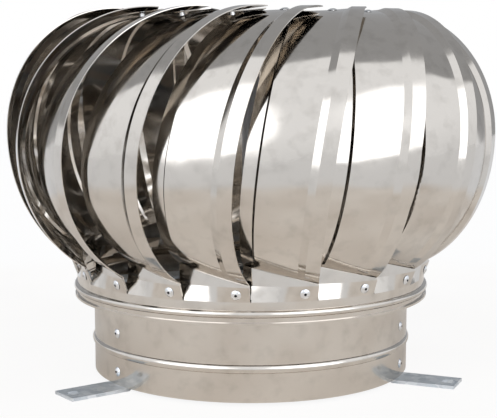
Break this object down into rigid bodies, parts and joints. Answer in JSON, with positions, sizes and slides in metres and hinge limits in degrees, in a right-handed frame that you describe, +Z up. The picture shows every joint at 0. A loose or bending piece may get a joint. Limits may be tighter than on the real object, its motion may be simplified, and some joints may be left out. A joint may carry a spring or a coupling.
{
  "type": "roof turbine ventilator",
  "caption": "Wind-driven roof ventilator: a spherical head of curved blades spins on a spindle above a short round collar with mounting feet.",
  "frame": {"origin": "on the spin axis, in the plane that the three feet stand on", "axes": "+Z up along the spin axis, -Y towards the viewer's front"},
  "size_m": [0.3024, 0.3046, 0.2264],
  "materials": {
    "stainless_sheet": "polished",
    "galvanised_strip": "satin",
    "rivet_metal": "satin",
    "zinc_steel": "satin",
    "bearing_steel": "polished",
    "housing_aluminium": "satin"
  },
  "bodies": {
    "base": {"collar": "stainless_sheet", "foot_1": "galvanised_strip", "foot_2": "galvanised_strip", "foot_3": "galvanised_strip", "foot_rivets": "rivet_metal", "base_spider": "galvanised_strip", "spider_rivets": "rivet_metal", "spindle": "zinc_steel", "spindle_washer": "zinc_steel", "spindle_nut": "zinc_steel", "spacer_tube": "zinc_steel", "lower_inner_race": "bearing_steel", "upper_inner_race": "bearing_steel", "top_washer": "zinc_steel", "locknut": "zinc_steel"},
    "head": {"throat_ring": "stainless_sheet", "blade_01": "stainless_sheet", "blade_02": "stainless_sheet", "blade_03": "stainless_sheet", "blade_04": "stainless_sheet", "blade_05": "stainless_sheet", "blade_06": "stainless_sheet", "blade_07": "stainless_sheet", "blade_08": "stainless_sheet", "blade_09": "stainless_sheet", "blade_10": "stainless_sheet", "blade_11": "stainless_sheet", "blade_12": "stainless_sheet", "blade_13": "stainless_sheet", "blade_14": "stainless_sheet", "blade_15": "stainless_sheet", "blade_16": "stainless_sheet", "blade_17": "stainless_sheet", "blade_18": "stainless_sheet", "ring_rivets": "rivet_metal", "top_plate": "stainless_sheet", "top_rivets": "rivet_metal", "weather_cap": "stainless_sheet", "cap_rivets": "rivet_metal", "head_spider": "galvanised_strip", "housing_rivets": "rivet_metal", "lower_housing": "housing_aluminium", "upper_housing": "housing_aluminium", "lower_outer_race": "bearing_steel", "upper_outer_race": "bearing_steel"},
    "lower_ball_set": {"lower_balls": "bearing_steel", "lower_cage": "bearing_steel"},
    "upper_ball_set": {"upper_balls": "bearing_steel", "upper_cage": "bearing_steel"}
  },
  "joints": [
    {"name": "head_spin", "type": "hinge", "parent": "base", "child": "head", "pos_m": [0, 0, 0.1], "axis": [0, 0, 1], "continuous": true},
    {"name": "lower_balls_spin", "type": "hinge", "parent": "base", "child": "lower_ball_set", "pos_m": [0, 0, 0.05745], "axis": [0, 0, 1], "continuous": true},
    {"name": "upper_balls_spin", "type": "hinge", "parent": "base", "child": "upper_ball_set", "pos_m": [0, 0, 0.2035], "axis": [0, 0, 1], "continuous": true}
  ],
  "couplings": [
    {"joint": "lower_balls_spin", "follows": "head_spin", "ratio": 0.63},
    {"joint": "upper_balls_spin", "follows": "head_spin", "ratio": 0.63}
  ]
}
